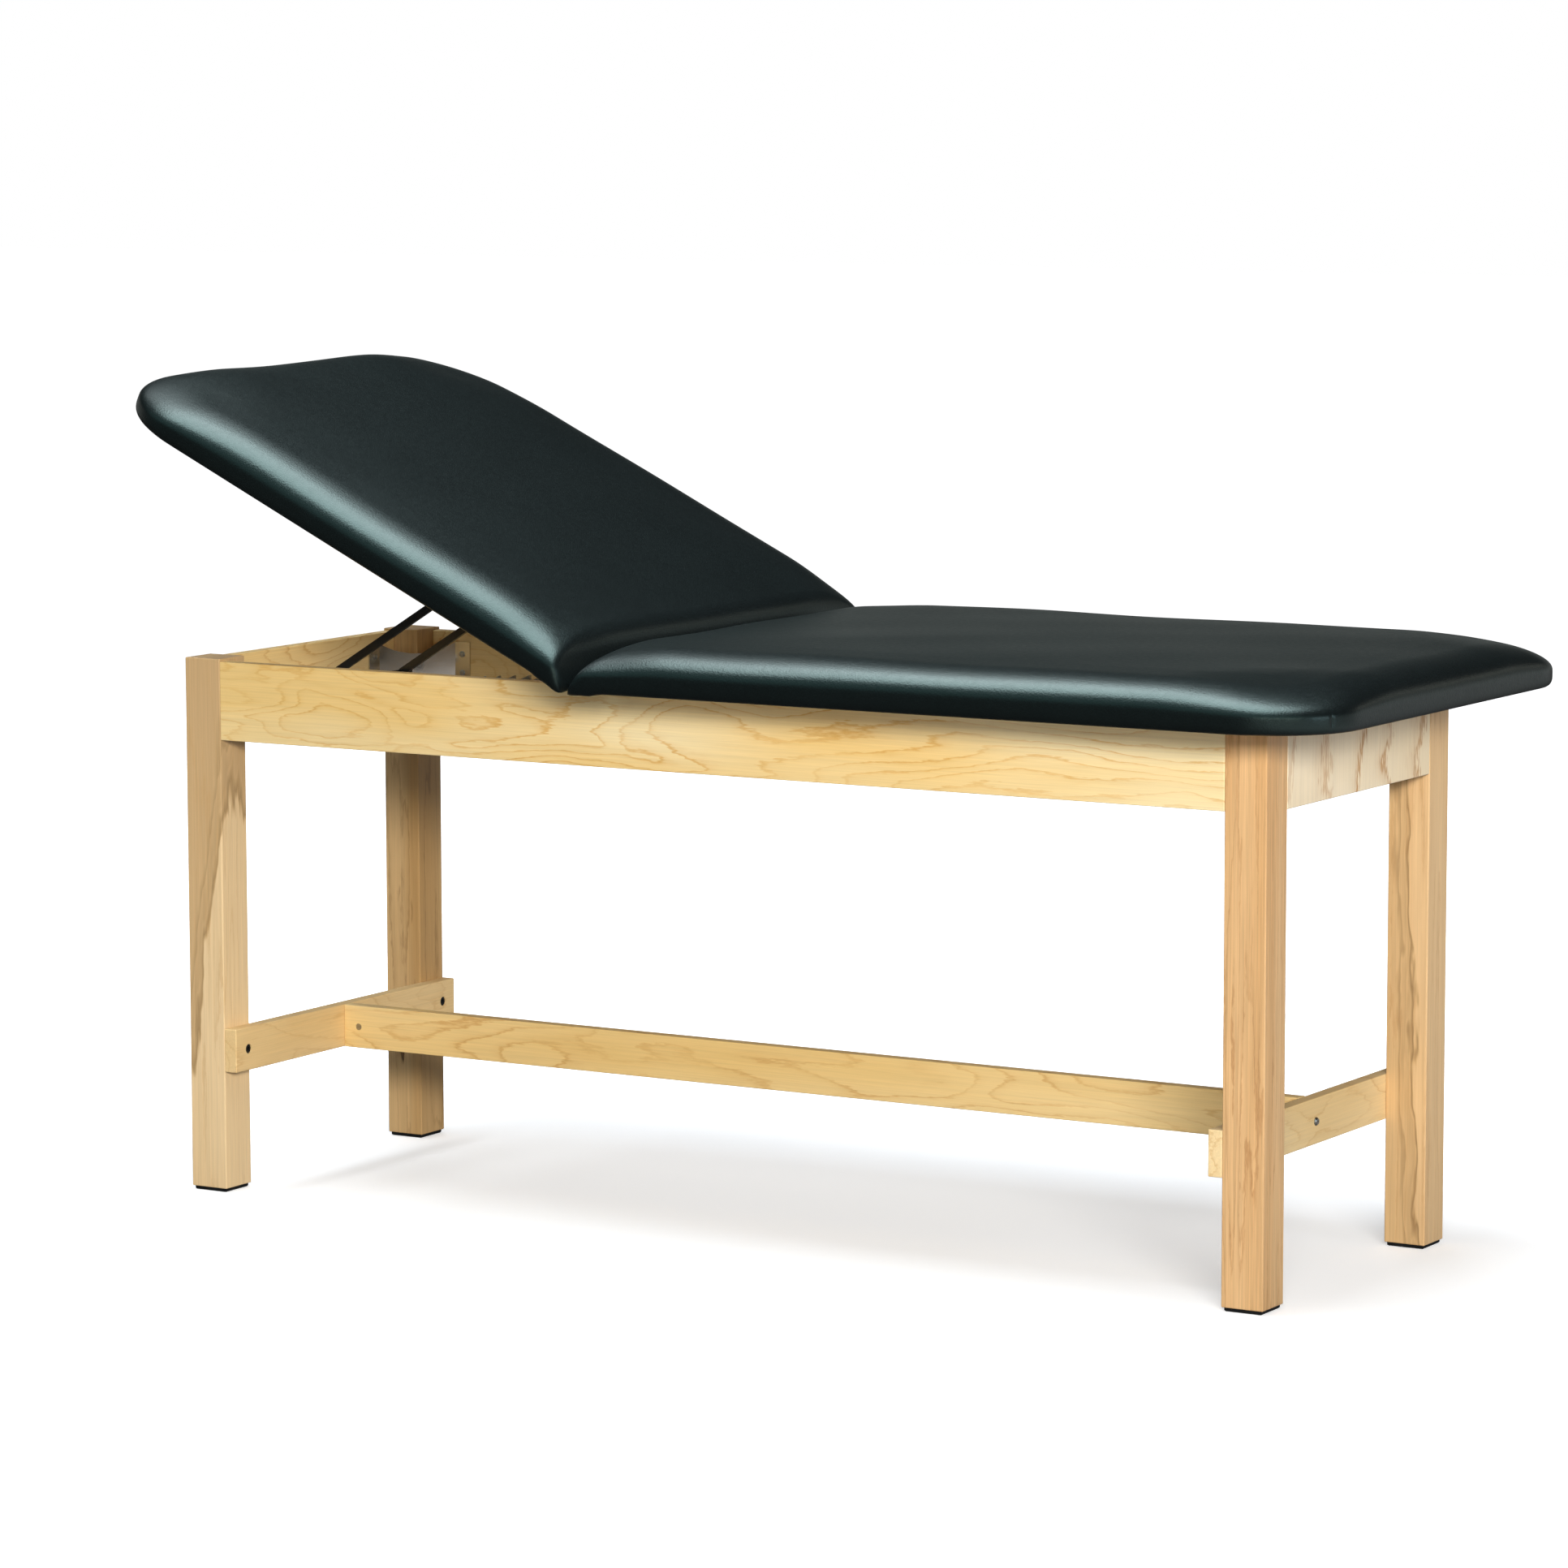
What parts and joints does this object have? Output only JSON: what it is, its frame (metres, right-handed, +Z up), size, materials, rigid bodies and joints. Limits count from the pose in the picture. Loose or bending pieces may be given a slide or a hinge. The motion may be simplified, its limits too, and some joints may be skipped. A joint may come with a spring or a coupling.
{
  "type": "treatment table with lifting backrest",
  "caption": "Wooden treatment table with a padded vinyl top in two parts; the head part lifts as a backrest and is held by a folding prop that catches in ratchet racks.",
  "frame": {"origin": "on the floor under the middle of the table's overall box, with the backrest raised as pictured", "axes": "+X from the head end (backrest) to the foot end, +Y from the near side to the far side, +Z up"},
  "size_m": [1.7536, 0.768, 1.0882],
  "materials": {
    "rail_maple": "satin",
    "leg_maple": "satin",
    "inner_hardwood": "matte",
    "plywood": "matte",
    "black_vinyl": "satin",
    "black_nylon": "matte",
    "black_enamel": "satin",
    "black_oxide_steel": "satin",
    "zinc_steel": "satin"
  },
  "bodies": {
    "frame": {"angle_brackets": "zinc_steel", "angle_screws": "zinc_steel", "barrel_nuts": "zinc_steel", "beam_screws": "zinc_steel", "body_board": "plywood", "body_cushion": "black_vinyl", "body_hinge_screws": "zinc_steel", "brace_screws": "zinc_steel", "centre_bolts": "zinc_steel", "centre_stretcher": "rail_maple", "corner_brace_foot_far": "zinc_steel", "corner_brace_foot_near": "zinc_steel", "corner_brace_head_far": "zinc_steel", "corner_brace_head_near": "zinc_steel", "cross_rail": "inner_hardwood", "end_rail_foot": "rail_maple", "end_rail_head": "rail_maple", "end_stretcher_foot": "rail_maple", "end_stretcher_head": "rail_maple", "glide_nails": "zinc_steel", "hanger_bolts": "zinc_steel", "hanger_nuts": "zinc_steel", "hanger_washers": "zinc_steel", "hinge_leaf_body_far": "zinc_steel", "hinge_leaf_body_near": "zinc_steel", "hinge_pins": "zinc_steel", "leg_foot_far": "leg_maple", "leg_foot_near": "leg_maple", "leg_glides": "black_nylon", "leg_head_far": "leg_maple", "leg_head_near": "leg_maple", "rack_beam": "inner_hardwood", "rack_screws": "zinc_steel", "ratchet_rack_far": "black_enamel", "ratchet_rack_near": "black_enamel", "side_rail_far": "rail_maple", "side_rail_near": "rail_maple", "stretcher_bolts": "black_oxide_steel"},
    "backrest": {"backrest_board": "plywood", "backrest_cushion": "black_vinyl", "backrest_hinge_screws": "zinc_steel", "clevis_pins": "zinc_steel", "hinge_leaf_backrest_far": "zinc_steel", "hinge_leaf_backrest_near": "zinc_steel", "prop_bracket_far": "zinc_steel", "prop_bracket_near": "zinc_steel", "prop_bracket_screws": "zinc_steel", "retaining_rings": "zinc_steel"},
    "prop": {"foot_caps": "black_nylon", "foot_rod": "black_enamel", "prop_arm_far": "black_enamel", "prop_arm_near": "black_enamel"}
  },
  "joints": [
    {"name": "back_lift", "type": "hinge", "parent": "frame", "child": "backrest", "pos_m": [-0.16716, 0, 0.7098], "axis": [0, 1, 0], "range_deg": [-25.6, 34.4]},
    {"name": "prop_fold", "type": "hinge", "parent": "backrest", "child": "prop", "pos_m": [-0.46312, 0, 0.83665], "axis": [0, 1, 0], "range_deg": [-68.8, 51.2]}
  ],
  "couplings": [
    {"joint": "prop_fold", "follows": "back_lift", "ratio": -2}
  ]
}
